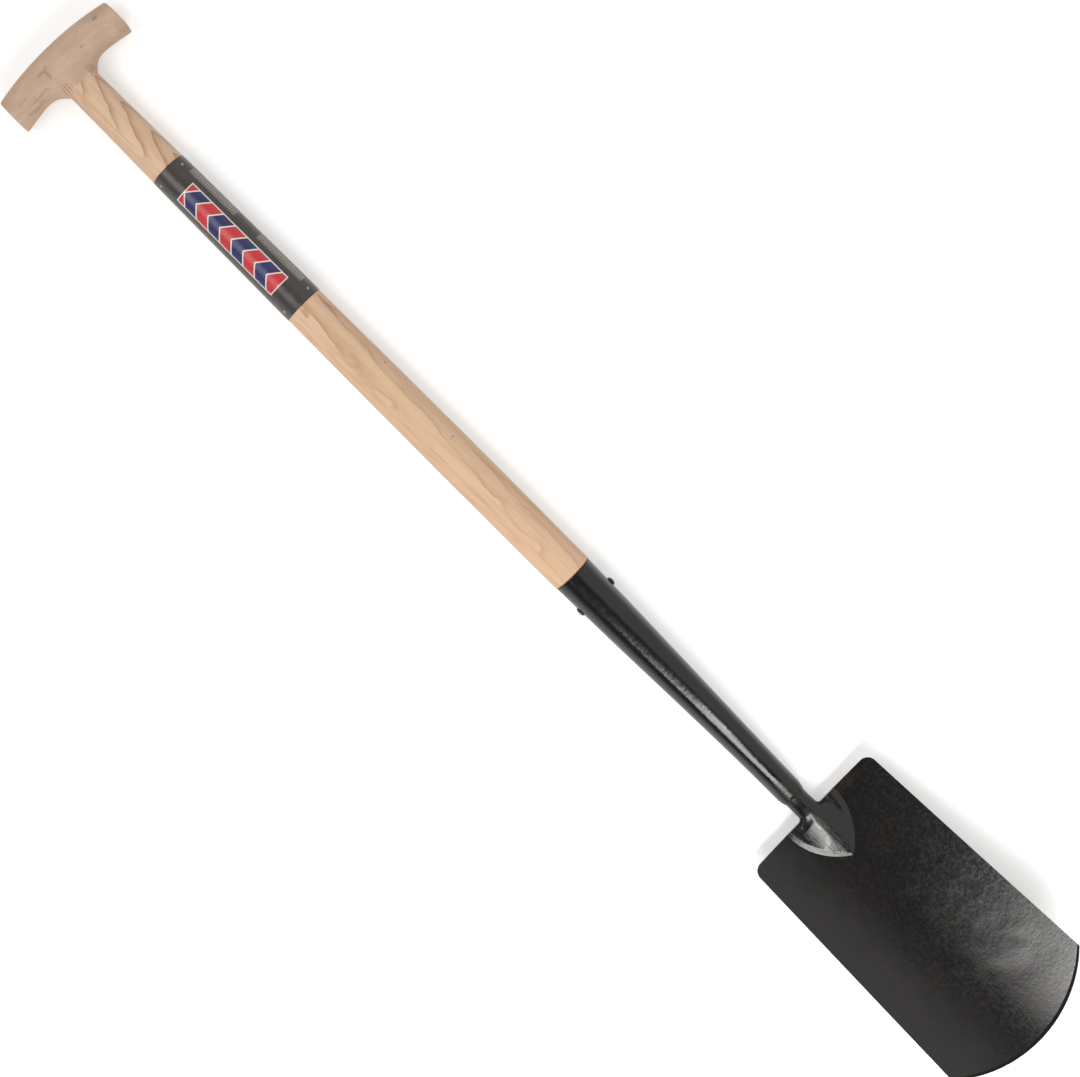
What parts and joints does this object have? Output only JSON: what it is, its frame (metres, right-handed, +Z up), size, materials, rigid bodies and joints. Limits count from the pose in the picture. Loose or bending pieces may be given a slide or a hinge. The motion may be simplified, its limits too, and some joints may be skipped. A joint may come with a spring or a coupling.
{
  "type": "digging spade",
  "caption": "Long digging spade with a wooden T-grip, a tapered ash shaft with a dark film sleeve, and a black forged blade with a raised frog and a long riveted socket.",
  "frame": {"origin": "centre of the bounding box, on the plane the spade lies on", "axes": "+Y along the shaft towards the grip, -Y towards the blade's cutting edge, +Z up out of the blade's face, +X across the blade; the spade lies on its back, on the grip and the heel of the head"},
  "size_m": [0.1624, 1.205, 0.0722],
  "materials": {
    "grip_wood": "sanded, unvarnished",
    "shaft_wood": "sanded, lightly sealed",
    "label_film": "gloss",
    "bright_steel": "plain",
    "black_coating": "satin over hammered steel"
  },
  "bodies": {
    "root": {"t_grip": "grip_wood", "shaft": "shaft_wood", "label_sleeve": "label_film", "grip_pin": "bright_steel", "socket": "black_coating", "socket_rivet": "black_coating", "neck_weld": "black_coating", "blade": "black_coating"}
  },
  "joints": []
}
